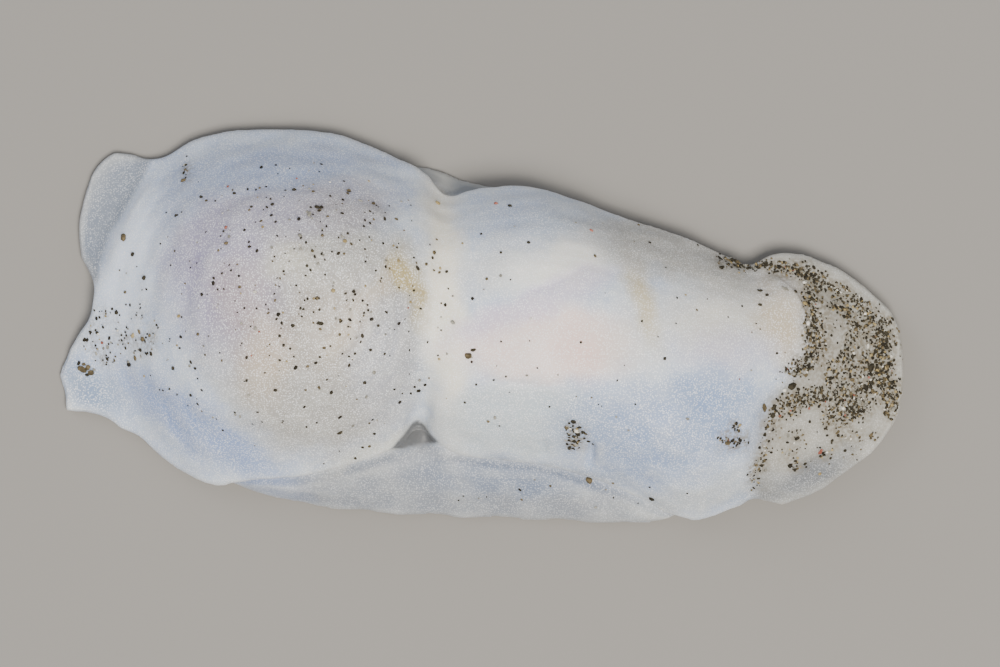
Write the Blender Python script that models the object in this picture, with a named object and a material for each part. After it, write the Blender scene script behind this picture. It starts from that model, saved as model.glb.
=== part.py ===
"""Oriental sea slug, a white headshield slug, as a still life-size model.

The animal lies stretched out on its sole, with its head towards +X and its left side
towards +Y. Lengths below are millimetres, and metres are made when a mesh is made.
The origin is under the middle of the animal, on the floor.

The upper side is one soft roof, split at the neck into a head shield and a tail shield.
The tail shield ends in two flat lobes, and the head shield in a broad front lobe. The
foot lies under them all, and a flap, the parapodium, grows from each side of the foot.
"""

import bmesh
import bpy
import numpy as np

MM = 0.001

# Driving sizes: the whole body, then the clearance between its parts
LENGTH = 40.0
WIDTH = 18.7
GAP = 0.31

# Margins: thickness of the roof's rim and the flaps' edges, how round the rim is, how far
# the roof's underside is let down, and the step from the head shield to the front lobe
RIM_THICKNESS = 0.52
FLAP_EDGE = 0.52
RIM_ROUNDING = 0.12
SETTLE = 0.06
FRONT_STEP = 0.12

# Stations of the body's two ends, of its two sides and of the neck
NECK_X = -1.9
TAIL_X = -LENGTH / 2 + RIM_ROUNDING
HEAD_X = LENGTH / 2 - RIM_ROUNDING
RIGHT_Y = -WIDTH / 2 + RIM_ROUNDING
LEFT_Y = WIDTH / 2 - RIM_ROUNDING

# Edge of the roof on the animal's right, (x, y) from the tail to the head; the tail end's
# short stretches stand for the lobes where only the width across is needed
TAIL_END_RIGHT = [(TAIL_X, -4.0), (-18.0, -4.15)]
TAIL_END_LEFT = [(TAIL_X, 8.0), (-17.5, 8.2)]
TAIL_RIGHT_EDGE = [(-16.4, -5.05), (-14.6, -6.45), (-12.7, -7.38), (-10.6, -7.2),
                   (-8.2, -7.02), (-6.2, -6.42), (-4.5, -5.85), (-3.5, -5.35), (-3.1, -4.7)]
HEAD_RIGHT_EDGE = [(-2.75, -4.7), (-2.35, -5.15), (-1.3, -5.78), (0.6, -6.2), (2.8, -6.4),
                   (4.9, -6.98), (7.2, -7.85), (9.3, -8.93), (10.3, -9.1), (11.4, -8.7), (12.85, -8.05)]

# Edge of the roof on the animal's left
TAIL_LEFT_EDGE = [(-15.1, 7.9), (-13.6, 8.7), (-11.5, 9.2), (-9.4, LEFT_Y), (-6.8, 8.9),
                  (-4.4, 8.0), (-2.7, 7.2), (-1.65, 6.2)]
HEAD_LEFT_EDGE = [(-1.3, 6.12), (0.5, 6.42), (2.0, 6.53), (4.2, 6.1), (6.7, 5.12),
                  (9.2, 4.28), (11.3, 3.42), (12.9, 2.72)]

# Lines across the roof, (x, y) from right to left
NECK_LINE = [(-2.93, -4.7), (-2.3, -2.6), (NECK_X, 0.5), (-1.72, 3.6), (-1.48, 6.15)]
FRONT_LINE = [(12.98, -8.05), (12.6, -5.7), (13.3, -3.5), (14.8, -2.2), (15.4, -0.7),
              (15.3, 0.9), (14.7, 2.0), (13.1, 2.9)]
FRONT_EDGE = [(14.3, -8.3), (15.9, -7.76), (17.3, -6.85), (18.6, -5.75), (19.6, -4.3),
              (HEAD_X, -1.6), (19.6, 0.2), (18.5, 1.45), (17.0, 2.5), (15.7, 3.1), (14.5, 3.42)]
FOREMOST = 5
FRONT_LEFT_NOTCH = (13.6, 3.38)

# Tail end: the two cuts that part the lobes, the bare margin between them, the lobes' edges
RIGHT_LOBE_CUT = [(-16.4, -5.05), (-17.75, -2.3), (-18.35, 0.25)]
TAIL_MARGIN = [(-18.35, 0.25), (-18.33, 1.2), (-18.15, 2.1)]
LEFT_LOBE_CUT = [(-18.15, 2.1), (-17.0, 5.1), (-15.1, 7.9)]
RIGHT_LOBE_RIGHT = [(-19.6, -4.0), (-18.7, -3.98), (-17.6, -4.33), (-16.4, -5.05)]
RIGHT_LOBE_BACK = [(-19.6, -4.0), (-19.6, -3.2), (TAIL_X, -2.4), (-19.5, -1.35)]
RIGHT_LOBE_LEFT = [(-19.5, -1.35), (-19.05, -0.6), (-18.35, 0.25)]
LEFT_LOBE_RIGHT = [(-18.85, 3.2), (-18.5, 2.6), (-18.15, 2.1)]
LEFT_LOBE_BACK = [(-18.85, 3.2), (-18.95, 4.5), (-18.7, 6.0), (-18.1, 7.5), (-17.4, 8.15)]
LEFT_LOBE_LEFT = [(-17.4, 8.15), (-16.6, 8.1), (-15.8, 7.85), (-15.1, 7.9)]

# Heights of the roof along the body, (x, z)
RIDGE = [(TAIL_X, 0.6), (-19.2, 0.95), (-18.3, 1.35), (-17.0, 2.4), (-15.8, 3.8), (-14.0, 5.8),
         (-12.0, 7.4), (-9.6, 8.35), (-7.6, 8.5), (-5.2, 8.05), (-3.4, 7.25), (NECK_X, 6.8),
         (-0.4, 6.98), (2.2, 7.35), (5.0, 7.45), (8.0, 7.0), (11.0, 5.9), (14.0, 4.3),
         (16.5, 2.95), (18.5, 1.95), (HEAD_X, 1.42)]
RIGHT_RIM = [(TAIL_X, 0.55), (-17.0, 0.75), (-14.0, 1.05), (-12.5, 1.4), (-10.5, 2.2), (-8.0, 2.75),
             (-3.0, 3.1), (1.0, 3.1), (4.5, 2.85), (7.5, 2.1), (9.6, 1.5), (12.5, 1.25), (HEAD_X, 1.4)]
LEFT_RIM = [(TAIL_X, 0.55), (-16.5, 0.62), (-13.0, 0.85), (-8.5, 1.05), (-4.0, 1.5), (-1.5, 2.2),
            (2.0, 1.9), (7.0, 1.65), (12.0, 1.4), (HEAD_X, 1.4)]
SEAT = [(TAIL_X, 0.0), (-18.4, 0.1), (-17.0, 0.55), (-16.0, 1.15), (-14.0, 2.1), (-11.0, 2.8),
        (10.0, 2.8), (14.0, 1.9), (17.5, 1.15), (HEAD_X, 0.9)]
LEFT_LOBE_HEIGHT = 0.66
LEFT_LOBE_START = 0.3
LEFT_LOBE_SLOPE = 1.6
LEFT_LOBE_THINNING = 0.12
LEAST_WIDTH = 0.5

# Flange of the roof: 1 rises at once from the rim, more keeps it flat for longer
TAIL_FLANGE = 1.18
HEAD_FLANGE = 0.98
FLANGE_CHANGE = 4.0
ROOF_FULLNESS = 2.8

# A sand groove follows the left rim of the front lobe
GROOVE_LINE = [(12.6, 2.6), (14.3, 2.5), (15.6, 2.0), (16.9, 1.35)]
GROOVE_DEPTH = 0.34
GROOVE_WIDTH = 0.55
GROOVE_FADE = 0.125

# Foot: middle line, half width, and how far its flanks lean in to the top
MID_LINE = [(-16.5, 1.3), (-10.0, 1.15), (-5.0, 1.1), (-2.0, 0.6), (0.0, 0.1), (5.0, -0.6),
            (10.0, -2.3), (14.0, -2.75), (19.0, -2.4)]
FOOT_HALF_WIDTH = [(-16.5, 2.4), (-14.0, 3.8), (-12.0, 4.6), (-8.0, 5.0), (-3.0, 4.6), (5.0, 4.6),
                   (10.0, 4.6), (14.0, 4.5), (17.0, 3.9)]
FOOT_TAIL_X = -14.8
FOOT_TAIL_ROUND = 1.3
FOOT_FRONT_X = 16.6
FOOT_FRONT_ROUND = 2.35
FOOT_END_SHAPE = 2.5
FLANK_LEAN = 0.35

# Parapodia: free edges, (x, y); the left one is mostly under the roof
RIGHT_FLAP_EDGE = [(-13.3, -5.6), (-12.7, -6.7), (-11.8, -7.35), (-9.9, -7.95), (-7.5, -8.45),
                   (-3.6, -8.8), (0.0, -8.95), (4.0, -9.1), (7.2, RIGHT_Y), (9.0, -8.95), (10.1, -8.1)]
LEFT_FLAP_EDGE = [(-12.6, 6.3), (-11.0, 7.4), (-8.5, 8.0), (-5.0, 7.85), (-2.4, 7.32), (-0.2, 6.65),
                  (2.0, 6.0), (5.0, 5.15), (7.4, 4.1)]
SCALLOP_HEIGHT = 0.07
SCALLOP_LENGTH = 3.1
POCKET_X = -3.0
POCKET_WIDTH = 0.95
POCKET_DEPTH = 0.95
FLAP_REST_Y = -5.35
LEFT_REST_INSET = 1.0
LEAST_FALL = 0.3
FLAP_ROUNDNESS = 2.2

# Cells along and across each part, for cells of about 0.6 mm. Some rows lie closer together
# at their ends, and a curve is measured at this many points.
CURVE_STEPS = 40
END_CROWDING = 0.45
FLAP_CROWDING = 0.85
TAIL_CELLS = (26, 27)
HEAD_CELLS = (26, 24)
FRONT_CELLS = (11, 22)
LOBE_CELLS = (7, 11)
FOOT_CELLS = (42, 12)
RIGHT_FLAP_CELLS = (38, 8)
LEFT_FLAP_CELLS = (30, 4)


def hermite(knots, values, where):
    """A smooth line through all values, with no overshoot between them."""
    knots = np.asarray(knots, float)
    values = np.asarray(values, float)
    steps = np.diff(knots)
    slopes = np.diff(values) / steps
    tangents = np.zeros(len(knots))
    tangents[0] = slopes[0]
    tangents[-1] = slopes[-1]
    for k in range(1, len(knots) - 1):
        if slopes[k - 1] * slopes[k] > 0.0:
            before = 2.0 * steps[k] + steps[k - 1]
            after = steps[k] + 2.0 * steps[k - 1]
            tangents[k] = (before + after) / (before / slopes[k - 1] + after / slopes[k])
    where = np.clip(np.asarray(where, float), knots[0], knots[-1])
    cell = np.clip(np.searchsorted(knots, where, side="right") - 1, 0, len(steps) - 1)
    t = (where - knots[cell]) / steps[cell]
    start = (1.0 + 2.0 * t) * (1.0 - t) ** 2 * values[cell]
    end = t * t * (3.0 - 2.0 * t) * values[cell + 1]
    lean_out = t * (1.0 - t) ** 2 * steps[cell] * tangents[cell]
    lean_in = t * t * (t - 1.0) * steps[cell] * tangents[cell + 1]
    return start + end + lean_out + lean_in


def along(stations, x):
    """The value that a list of (x, value) stations has at x."""
    return hermite([s[0] for s in stations], [s[1] for s in stations], x)


def curve(points, shares):
    """Points on a smooth plan curve through the named ones, at shares 0 to 1 of its length."""
    points = np.asarray(points, float)
    lengths = np.concatenate([[0.0], np.cumsum(np.linalg.norm(np.diff(points, axis=0), axis=1))])
    tangents = np.gradient(points, lengths, axis=0)
    where = np.asarray(shares) * lengths[-1]
    cell = np.clip(np.searchsorted(lengths, where, side="right") - 1, 0, len(points) - 2)
    span = (lengths[cell + 1] - lengths[cell])[:, None]
    t = ((where - lengths[cell])[:, None]) / span
    start = (1.0 + 2.0 * t) * (1.0 - t) ** 2 * points[cell]
    end = t * t * (3.0 - 2.0 * t) * points[cell + 1]
    lean_out = t * (1.0 - t) ** 2 * span * tangents[cell]
    lean_in = t * t * (t - 1.0) * span * tangents[cell + 1]
    return start + end + lean_out + lean_in


def even(count):
    """Shares 0 to 1 in equal steps."""
    return np.linspace(0.0, 1.0, count + 1)


def crowded(count):
    """Shares 0 to 1 that lie closer together near both ends."""
    steps = even(count)
    return (1.0 - END_CROWDING) * steps + END_CROWDING * (0.5 - 0.5 * np.cos(np.pi * steps))


def beside(points, forward):
    """The plan curve that keeps a distance from a line across the body, ahead of it if positive."""
    run = np.gradient(points, axis=0)
    run = run / np.linalg.norm(run, axis=1)[:, None]
    return points + forward * np.column_stack([run[:, 1], -run[:, 0]])


def smooth_step(t):
    """0 below 0, 1 above 1, and an S between."""
    t = np.clip(t, 0.0, 1.0)
    return t * t * (3.0 - 2.0 * t)


def patch(right, left, back, front):
    """Plan grid inside four edges: rows run from the back edge to the front edge."""
    u = even(len(right) - 1)[:, None, None]
    v = even(len(back) - 1)[None, :, None]
    sides = (1.0 - v) * right[:, None, :] + v * left[:, None, :]
    ends = (1.0 - u) * back[None, :, :] + u * front[None, :, :]
    corners = ((1.0 - u) * (1.0 - v) * back[0] + (1.0 - u) * v * back[-1]
               + u * (1.0 - v) * front[0] + u * v * front[-1])
    return sides + ends - corners


def roof_edges():
    """The roof's right and left edges as stations along the whole body."""
    right = TAIL_END_RIGHT + TAIL_RIGHT_EDGE + HEAD_RIGHT_EDGE + FRONT_EDGE[:FOREMOST + 1]
    left = TAIL_END_LEFT + TAIL_LEFT_EDGE + HEAD_LEFT_EDGE + FRONT_EDGE[:FOREMOST - 1:-1]
    return right, left


RIGHT_STATIONS, LEFT_STATIONS = roof_edges()


def share_across(x, y):
    """0 at the roof's right edge, 1 at its left edge."""
    right = along(RIGHT_STATIONS, x)
    left = along(LEFT_STATIONS, x)
    return np.clip((y - right) / np.maximum(left - right, LEAST_WIDTH), 0.0, 1.0)


def distance_to(points, x, y):
    """Distance in plan from every (x, y) to a curve."""
    line = curve(points, even(CURVE_STEPS))
    away = np.full(np.shape(x), np.inf)
    for px, py in line:
        away = np.minimum(away, np.hypot(x - px, y - py))
    return away


def roof_top(x, y):
    """Height of the animal's upper side."""
    v = share_across(x, y)
    rim = (1.0 - v) * along(RIGHT_RIM, x) + v * along(LEFT_RIM, x)
    from_edge = 1.0 - np.abs(2.0 * v - 1.0)
    flange = TAIL_FLANGE + (HEAD_FLANGE - TAIL_FLANGE) * smooth_step((x - NECK_X) / FLANGE_CHANGE + 0.5)
    rise = 1.0 - (1.0 - from_edge ** flange) ** ROOF_FULLNESS
    top = rim + (along(RIDGE, x) - rim) * rise
    groove = np.exp(-(distance_to(GROOVE_LINE, x, y) / GROOVE_WIDTH) ** 2)
    top = top - GROOVE_DEPTH * groove * smooth_step(from_edge / GROOVE_FADE)
    (ax, ay), (bx, by) = LEFT_LOBE_CUT[0], LEFT_LOBE_CUT[-1]
    outward = ((y - ay) * (bx - ax) - (x - ax) * (by - ay)) / np.hypot(bx - ax, by - ay)
    web = smooth_step((outward + LEFT_LOBE_START) / LEFT_LOBE_SLOPE)
    thin = np.minimum(top, LEFT_LOBE_HEIGHT - LEFT_LOBE_THINNING * (1.0 - from_edge))
    return (1.0 - web) * top + web * thin


def roof_under(x, y):
    """Height of the roof's underside, which rests on the foot and the flaps."""
    v = share_across(x, y)
    rim = (1.0 - v) * along(RIGHT_RIM, x) + v * along(LEFT_RIM, x) - RIM_THICKNESS
    seat = along(SEAT, x)
    under = rim + (seat - rim) * np.sin(np.pi * v)
    under = np.where(x < FOOT_TAIL_X - FOOT_TAIL_ROUND, np.minimum(under, seat), under)
    under = np.minimum(under, roof_top(x, y) - RIM_THICKNESS)
    return np.maximum(under - SETTLE, 0.0)


def boundary(rows, columns):
    """Grid places round the edge of a patch, anticlockwise, with the side each is on."""
    loop = [(i, 0, "right") for i in range(rows)]
    loop += [(rows - 1, j, "front") for j in range(1, columns)]
    loop += [(i, columns - 1, "left") for i in range(rows - 2, -1, -1)]
    loop += [(0, j, "back") for j in range(columns - 2, 0, -1)]
    return loop


def skin_material(name, colour, roughness):
    """Principled material for one part of the body."""
    material = bpy.data.materials.new(name + "_skin")
    material.use_nodes = True
    shader = material.node_tree.nodes["Principled BSDF"]
    shader.inputs["Base Color"].default_value = (*colour, 1.0)
    shader.inputs["Roughness"].default_value = roughness
    shader.inputs["Metallic"].default_value = 0.0
    material.diffuse_color = (*colour, 1.0)
    return material


def closed_body(name, top, bottom, free_sides, colour, parent):
    """One closed body between two grids of points, rounded along its free sides."""
    rows, columns = top.shape[:2]
    mesh = bpy.data.meshes.new(name)
    body = bmesh.new()
    upper = [[body.verts.new(top[i, j]) for j in range(columns)] for i in range(rows)]
    lower = [[body.verts.new(bottom[i, j]) for j in range(columns)] for i in range(rows)]
    for i in range(rows - 1):
        for j in range(columns - 1):
            for face in ((i, j), (i + 1, j), (i + 1, j + 1)), ((i, j), (i + 1, j + 1), (i, j + 1)):
                body.faces.new([upper[a][b] for a, b in face])
                body.faces.new([lower[a][b] for a, b in reversed(face)])
    loop = boundary(rows, columns)
    count = len(loop)
    middle = []
    for k, (i, j, side) in enumerate(loop):
        before = np.asarray(top[loop[k - 1][0], loop[k - 1][1]])
        after = np.asarray(top[loop[(k + 1) % count][0], loop[(k + 1) % count][1]])
        run = after - before
        outward = np.array([run[1], -run[0], 0.0]) / max(np.hypot(run[0], run[1]), 1e-9)
        sides = {side, loop[k - 1][2], loop[(k + 1) % count][2]}
        bulge = RIM_ROUNDING if sides <= set(free_sides) else 0.0
        middle.append(body.verts.new(0.5 * (top[i, j] + bottom[i, j]) + bulge * outward))
    for k, (i, j, side) in enumerate(loop):
        m = (k + 1) % count
        ni, nj = loop[m][:2]
        for a, b in ((upper, middle), (middle, lower)):
            first = a[i][j] if a is upper else a[k]
            second = a[ni][nj] if a is upper else a[m]
            third = b[m] if b is middle else b[ni][nj]
            fourth = b[k] if b is middle else b[i][j]
            body.faces.new((first, fourth, third))
            body.faces.new((first, third, second))
    bmesh.ops.scale(body, vec=(MM, MM, MM), verts=body.verts[:])
    anchor = sum((vert.co for vert in body.verts), start=body.verts[:][0].co * 0.0) / len(body.verts)
    bmesh.ops.translate(body, vec=-anchor, verts=body.verts[:])
    bmesh.ops.recalc_face_normals(body, faces=body.faces[:])
    body.to_mesh(mesh)
    body.free()
    mesh.shade_smooth()
    mesh.materials.append(skin_material(name, *colour))
    piece = bpy.data.objects.new(name, mesh)
    bpy.context.scene.collection.objects.link(piece)
    piece.location = anchor
    piece.parent = parent
    return piece


def raised(plan, height):
    """Plan grid with a height for every point."""
    return np.dstack([plan, height])


def roof_part(name, plan, free_sides, colour, parent, drop=0.0):
    """A part of the roof, from its underside to its top."""
    x, y = plan[..., 0], plan[..., 1]
    top = raised(plan, roof_top(x, y) - drop)
    bottom = raised(plan, roof_under(x, y))
    return closed_body(name, top, bottom, free_sides, colour, parent)


def joined(*curves):
    """Several plan curves end to end, each shared corner once."""
    points = list(curves[0])
    for extra in curves[1:]:
        points += extra[1:]
    return points


def tail_shield(parent):
    """Rear roof over the hidden shell, from the tail's margin to the neck."""
    rows, columns = TAIL_CELLS
    neck = beside(curve(NECK_LINE, crowded(columns)), -GAP / 2)
    right = curve(TAIL_RIGHT_EDGE[:-1] + [tuple(neck[0])], even(rows))
    left = curve(TAIL_LEFT_EDGE[:-1] + [tuple(neck[-1])], even(rows))
    back = curve(joined(RIGHT_LOBE_CUT, TAIL_MARGIN, LEFT_LOBE_CUT), crowded(columns))
    plan = patch(right, left, back, neck)
    return roof_part("tail_shield", plan, ("right", "left"), ((0.66, 0.64, 0.65), 0.4), parent)


def head_shield(parent):
    """Front roof, from the neck to where the front lobe begins."""
    rows, columns = HEAD_CELLS
    neck = beside(curve(NECK_LINE, crowded(columns)), GAP / 2)
    front = beside(curve(FRONT_LINE, crowded(columns)), -GAP / 2)
    right = curve([tuple(neck[0])] + HEAD_RIGHT_EDGE[1:-1] + [tuple(front[0])], even(rows))
    left = curve([tuple(neck[-1])] + HEAD_LEFT_EDGE[1:-1] + [tuple(front[-1])], even(rows))
    plan = patch(right, left, neck, front)
    return roof_part("head_shield", plan, ("right", "left"), ((0.7, 0.67, 0.66), 0.4), parent)


def head_front(parent):
    """Broad front lobe, thin at its edge, above the mouth slit."""
    rows, columns = FRONT_CELLS
    back = beside(curve(FRONT_LINE, even(columns)), GAP / 2)
    front = curve(FRONT_EDGE, even(columns))
    right = curve([tuple(back[0]), FRONT_EDGE[0]], even(rows))
    left = curve([tuple(back[-1]), FRONT_LEFT_NOTCH, FRONT_EDGE[-1]], even(rows))
    plan = patch(right, left, back, front)
    free_sides = ("right", "left", "front")
    return roof_part("head_front", plan, free_sides, ((0.6, 0.59, 0.55), 0.45), parent, FRONT_STEP)


def tail_lobe(name, cut, sides, colour, parent):
    """One flat lobe behind the tail shield, which lies on the floor at its outer part."""
    rows, columns = LOBE_CELLS
    right_side, left_side, back_side = sides
    front = beside(curve(cut, even(columns)), -GAP)
    back = curve(back_side, even(columns))
    right = curve(right_side[:-1] + [tuple(front[0])], even(rows))
    left = curve(left_side[:-1] + [tuple(front[-1])], even(rows))
    plan = patch(right, left, back, front)
    return roof_part(name, plan, ("right", "left", "back"), colour, parent)


def foot_side(x, side, lean):
    """Plan y of the foot's flank; side is -1 for the right and 1 for the left."""
    return along(MID_LINE, x) + side * (along(FOOT_HALF_WIDTH, x) - lean)


def foot_plan(lean):
    """Plan grid of the foot, drawn in by lean."""
    rows, columns = FOOT_CELLS
    x = FOOT_TAIL_X + even(rows) * (FOOT_FRONT_X - FOOT_TAIL_X)
    right = np.column_stack([x, foot_side(x, -1, lean)])
    left = np.column_stack([x, foot_side(x, 1, lean)])
    share = even(columns)
    round_end = 1.0 - np.abs(2.0 * share - 1.0) ** FOOT_END_SHAPE
    back_x = FOOT_TAIL_X - (FOOT_TAIL_ROUND - lean / 2) * round_end
    back = np.column_stack([back_x, right[0, 1] + share * (left[0, 1] - right[0, 1])])
    front_x = FOOT_FRONT_X + (FOOT_FRONT_ROUND - lean / 2) * round_end
    front = np.column_stack([front_x, right[-1, 1] + share * (left[-1, 1] - right[-1, 1])])
    return patch(right, left, back, front)


def foot(parent):
    """The sole and the low flanks, flat below."""
    upper = foot_plan(FLANK_LEAN)
    top = raised(upper, roof_under(upper[..., 0], upper[..., 1]) - GAP)
    lower = foot_plan(0.0)
    bottom = raised(lower, np.zeros(lower.shape[:2]))
    return closed_body("foot", top, bottom, (), ((0.62, 0.62, 0.64), 0.45), parent)


def scallops(x, reach):
    """Small waves of a free edge, which die out at both of its ends."""
    swell = np.sin(np.pi * even(len(x) - 1)) ** 0.5
    return reach * swell * np.sin(2.0 * np.pi * x / SCALLOP_LENGTH)


def parapodium(name, side, edge, cells, rest, pocket, colour, parent):
    """Side flap: it meets the foot's flank, runs under the roof and thins to its free edge."""
    rows, columns = cells
    x = edge[0][0] + crowded(rows) * (edge[-1][0] - edge[0][0])
    notch = pocket * np.exp(-((x - POCKET_X) / POCKET_WIDTH) ** 2)
    root_low = foot_side(x, side, 0.0) + side * GAP
    root_high = foot_side(x, side, FLANK_LEAN) + side * (GAP + notch)
    outer = along(edge, x) + scallops(x, SCALLOP_HEIGHT)
    share = (even(columns) ** FLAP_CROWDING)[None, :]
    high = root_high[:, None] + share * (outer - root_high)[:, None]
    low = root_low[:, None] + share * (outer - root_low)[:, None]
    along_body = np.repeat(x[:, None], columns + 1, axis=1)
    rest_y = rest(x)[:, None]
    reach = np.maximum(side * (outer[:, None] - rest_y), LEAST_FALL)
    fall = np.clip(side * (high - rest_y) / reach, 0.0, 1.0)
    under_roof = roof_under(along_body, high) - GAP
    top = FLAP_EDGE + (under_roof - FLAP_EDGE) * (1.0 - fall ** FLAP_ROUNDNESS)
    top = np.clip(top, FLAP_EDGE, under_roof)
    upper = np.dstack([along_body, high, top])
    lower = np.dstack([along_body, low, np.zeros_like(top)])
    if side < 0:
        upper = upper[:, ::-1]
        lower = lower[:, ::-1]
    free_side = "right" if side < 0 else "left"
    return closed_body(name, upper, lower, (free_side,), colour, parent)


def right_rest(x):
    """Where the roof's right rim lies on the right flap."""
    return np.minimum(along(RIGHT_STATIONS, x), FLAP_REST_Y)


def left_rest(x):
    """Where the left flap starts to round off, inside its own edge."""
    return along(LEFT_FLAP_EDGE, x) - LEFT_REST_INSET


def main():
    """Clears the scene and builds every part of the animal."""
    for old in list(bpy.data.objects):
        bpy.data.objects.remove(old, do_unlink=True)
    body = bpy.data.objects.new("sea_slug", None)
    bpy.context.scene.collection.objects.link(body)
    foot(body)
    tail_shield(body)
    head_shield(body)
    head_front(body)
    right_sides = (RIGHT_LOBE_RIGHT, RIGHT_LOBE_LEFT, RIGHT_LOBE_BACK)
    left_sides = (LEFT_LOBE_RIGHT, LEFT_LOBE_LEFT, LEFT_LOBE_BACK)
    tail_lobe("tail_lobe_right", RIGHT_LOBE_CUT, right_sides, ((0.6, 0.62, 0.66), 0.4), body)
    tail_lobe("tail_lobe_left", LEFT_LOBE_CUT, left_sides, ((0.5, 0.5, 0.5), 0.4), body)
    flap_colour = ((0.58, 0.6, 0.62), 0.4)
    parapodium("parapodium_right", -1, RIGHT_FLAP_EDGE, RIGHT_FLAP_CELLS, right_rest,
               POCKET_DEPTH, flap_colour, body)
    parapodium("parapodium_left", 1, LEFT_FLAP_EDGE, LEFT_FLAP_CELLS, left_rest, 0.0, flap_colour, body)


main()
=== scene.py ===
# %% [markdown]
# # A white headshield slug
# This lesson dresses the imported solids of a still, life-size sea slug. The solids give the
# size, the outline and the parting of the body. Here one soft skin takes their place, and
# the sand grains that cling to its mucus are laid on it. Lengths are thought of in
# millimetres, because the animal is 40 mm long, and turned to metres when a mesh is made.

import bpy
import numpy as np
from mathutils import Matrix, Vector
from mathutils.bvhtree import BVHTree


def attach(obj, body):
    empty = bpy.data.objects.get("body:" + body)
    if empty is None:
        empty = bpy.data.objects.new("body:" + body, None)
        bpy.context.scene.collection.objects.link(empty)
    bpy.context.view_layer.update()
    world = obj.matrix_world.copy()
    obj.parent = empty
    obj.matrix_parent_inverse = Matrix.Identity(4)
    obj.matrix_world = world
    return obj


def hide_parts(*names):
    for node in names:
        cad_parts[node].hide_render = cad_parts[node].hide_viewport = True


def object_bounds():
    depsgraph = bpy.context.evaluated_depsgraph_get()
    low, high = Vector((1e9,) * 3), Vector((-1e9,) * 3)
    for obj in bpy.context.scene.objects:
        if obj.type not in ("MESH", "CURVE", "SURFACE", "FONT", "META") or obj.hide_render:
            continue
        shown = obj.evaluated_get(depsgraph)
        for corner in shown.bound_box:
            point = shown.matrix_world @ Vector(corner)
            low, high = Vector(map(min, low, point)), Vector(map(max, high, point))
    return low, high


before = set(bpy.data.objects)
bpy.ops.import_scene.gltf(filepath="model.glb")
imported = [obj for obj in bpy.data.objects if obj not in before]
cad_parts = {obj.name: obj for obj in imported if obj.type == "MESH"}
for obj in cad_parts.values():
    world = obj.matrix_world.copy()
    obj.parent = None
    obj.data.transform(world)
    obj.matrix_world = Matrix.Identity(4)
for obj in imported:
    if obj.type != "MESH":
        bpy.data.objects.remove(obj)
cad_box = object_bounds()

MM = 0.001
low, high = [np.array(corner[:]) / MM for corner in cad_box]
print("solids' box in mm:", np.round(low, 2), np.round(high, 2))

# %% [markdown]
# ## Small helpers
# Operators act on whatever is selected, so each step first picks its own objects. Colours
# are written as the hex codes that a painter would pick on a screen. Shaders want linear
# light, so one function turns them.

# %% Helpers for picking, colour and nodes
def pick(*objects):
    """Selects only these objects and makes the first one active."""
    for other in list(bpy.context.selected_objects):
        other.select_set(False)
    for chosen in objects:
        chosen.select_set(True)
    bpy.context.view_layer.objects.active = objects[0]


def linear(code):
    """Linear colour with alpha 1, from an sRGB hex code such as d8d4cc."""
    parts = [int(code[k:k + 2], 16) / 255.0 for k in (0, 2, 4)]
    return tuple(c / 12.92 if c <= 0.04045 else ((c + 0.055) / 1.055) ** 2.4 for c in parts) + (1.0,)


def add_node(tree, kind, settings=(), inputs=()):
    """Adds one node with its settings, and gives each input a value or a link."""
    made = tree.nodes.new(kind)
    for name, value in dict(settings).items():
        setattr(made, name, value)
    for name, value in dict(inputs).items():
        if isinstance(value, bpy.types.NodeSocket):
            tree.links.new(value, made.inputs[name])
        else:
            made.inputs[name].default_value = value
    return made


def new_material(name):
    """A material with an empty Principled shader, and its tree and shader."""
    material = bpy.data.materials.new(name)
    material.use_nodes = True
    return material, material.node_tree, material.node_tree.nodes["Principled BSDF"]


print("helpers are ready")

# %% [markdown]
# ## Camera
# The photo looks straight down, head to the right. A 100 mm macro lens this close frames
# like one of 176 mm, from 231 mm away. The frame is 47.2 mm wide, and its middle lies a
# little ahead of the animal's own middle.

# %% Place the camera straight above
FRAME_WIDTH = 47.24
LENS = 176.0
SENSOR = 36.0
FRAME_MIDDLE = (0.93, -0.35)
OUTLINE_HEIGHT = 1.2
NEAR_LIMIT = 10.0
camera_height = OUTLINE_HEIGHT + FRAME_WIDTH * LENS / SENSOR

bpy.ops.object.camera_add(location=(FRAME_MIDDLE[0] * MM, FRAME_MIDDLE[1] * MM, camera_height * MM))
camera = bpy.context.object
camera.name = "camera"
camera.rotation_euler = (0.0, 0.0, 0.0)
camera.data.lens = LENS
camera.data.sensor_width = SENSOR
camera.data.clip_start = NEAR_LIMIT * MM
bpy.context.scene.camera = camera
print("camera is", round(camera_height, 1), "mm above the floor")

# %% [markdown]
# ## Floor and light
# The slug is shown on a plain pale grey floor, a little darker than its skin. The main light
# is soft and stands high, not far from the camera and to the animal's right, so the domes
# are bright on top and turn grey towards the left margin. A weak light from the far side
# keeps that margin open, and the world fills the rest.

# %% Floor, world and lights
FLOOR_SIZE = 1.2
AIM_HEIGHT = 3.0
WORLD_STRENGTH = 0.5


def studio_floor():
    """A plain matt floor that isn't part of the animal."""
    bpy.ops.mesh.primitive_plane_add(size=FLOOR_SIZE, location=(0.0, 0.0, 0.0))
    floor = bpy.context.object
    floor.name = "studio_floor"
    material, tree, shader = new_material("matt_paper_floor")
    shader.inputs["Base Color"].default_value = linear("8a8782")
    shader.inputs["Roughness"].default_value = 0.9
    shader.inputs["Specular IOR Level"].default_value = 0.1
    floor.data.materials.append(material)
    return floor


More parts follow.
